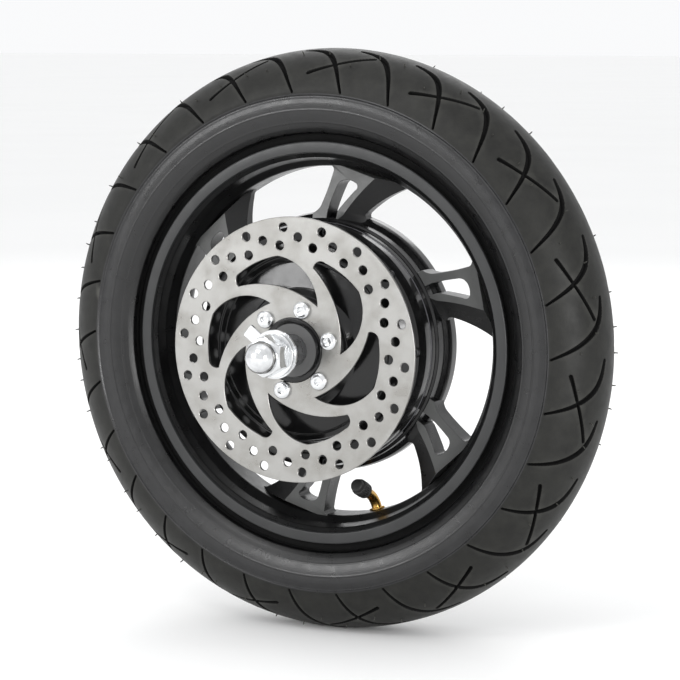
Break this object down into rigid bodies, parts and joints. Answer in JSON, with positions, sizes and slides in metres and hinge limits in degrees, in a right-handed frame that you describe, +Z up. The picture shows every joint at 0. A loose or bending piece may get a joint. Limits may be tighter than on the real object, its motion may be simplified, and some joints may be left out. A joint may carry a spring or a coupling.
{
  "type": "hub motor wheel",
  "caption": "Scooter wheel with a pneumatic tyre, forked spokes, a direct-drive motor in its hub, a vented brake disc and a flatted hollow axle for fork dropouts.",
  "frame": {"origin": "centre of the wheel, on the axle's centre line in the middle plane of the tyre", "axes": "+Y along the axle to the side that the motor cable leaves from, -Y to the brake disc, +Z up, +X level"},
  "size_m": [0.314, 0.196, 0.3138],
  "materials": {
    "tyre_rubber": "matte moulded rubber",
    "black_rubber": "matte",
    "tape": "matte",
    "rim_paint": "satin black powder coat on cast aluminium",
    "cover_paint": "gloss black",
    "disc_steel": "ground stainless steel",
    "axle_steel": "turned steel",
    "zinc": "bright zinc plate",
    "black_steel": "black oxide",
    "spring_steel": "satin",
    "bearing_steel": "polished",
    "brass": "satin",
    "cap_plastic": "moulded",
    "bare_aluminium": "machined",
    "lamination": "stacked sheet steel",
    "magnet_plate": "nickel plate",
    "copper": "enamelled copper wire",
    "circuit_board": "solder mask",
    "lead_sleeve": "sleeve"
  },
  "bodies": {
    "axle": {"axle": "axle_steel", "axle_key": "axle_steel", "stator_spider": "bare_aluminium", "stator_core": "lamination", "windings": "copper", "hall_board": "circuit_board", "board_standoffs": "brass", "phase_leads": "lead_sleeve", "disc_side_inner_race": "bearing_steel", "cable_side_inner_race": "bearing_steel", "disc_side_circlip": "spring_steel", "cable_side_circlip": "spring_steel", "disc_side_tab_washer": "zinc", "cable_side_tab_washer": "zinc", "disc_side_washer": "zinc", "cable_side_washer": "zinc", "acorn_nut": "zinc", "cable_side_nut": "zinc", "cable_boot": "black_rubber"},
    "wheel": {"tyre": "tyre_rubber", "inner_tube": "black_rubber", "rim_tape": "tape", "rim_casting": "rim_paint", "back_iron": "lamination", "magnets": "magnet_plate", "disc_side_cover": "cover_paint", "cable_side_cover": "cover_paint", "disc_side_gasket": "black_rubber", "cable_side_gasket": "black_rubber", "disc_cover_screws": "black_steel", "cable_cover_screws": "black_steel", "disc_side_seal": "black_rubber", "cable_side_seal": "black_rubber", "disc_side_outer_race": "bearing_steel", "cable_side_outer_race": "bearing_steel", "disc_side_shields": "black_rubber", "cable_side_shields": "black_rubber", "brake_disc": "disc_steel", "disc_bolts": "black_steel", "valve_stem": "brass", "valve_nut": "brass", "valve_cap": "cap_plastic"},
    "disc_side_ball_set": {"disc_side_balls": "bearing_steel", "disc_side_cage": "spring_steel"},
    "cable_side_ball_set": {"cable_side_balls": "bearing_steel", "cable_side_cage": "spring_steel"},
    "valve_core": {"valve_pin": "brass"}
  },
  "joints": [
    {"name": "wheel_spin", "type": "hinge", "parent": "axle", "child": "wheel", "pos_m": [0, 0, 0], "axis": [0, 1, 0], "continuous": true},
    {"name": "disc_side_ball_orbit", "type": "hinge", "parent": "axle", "child": "disc_side_ball_set", "pos_m": [0, -0.042, 0], "axis": [0, 1, 0], "continuous": true},
    {"name": "cable_side_ball_orbit", "type": "hinge", "parent": "axle", "child": "cable_side_ball_set", "pos_m": [0, 0.032, 0], "axis": [0, 1, 0], "continuous": true},
    {"name": "valve_pin_press", "type": "slide", "parent": "wheel", "child": "valve_core", "axis": [0.1215, 0.8829, -0.4535], "range_m": [0, 0.0012], "stiffness_N_per_m": 200, "springref_m": -0.002}
  ],
  "couplings": [
    {"joint": "disc_side_ball_orbit", "follows": "wheel_spin", "ratio": 0.5915},
    {"joint": "cable_side_ball_orbit", "follows": "wheel_spin", "ratio": 0.5915}
  ]
}
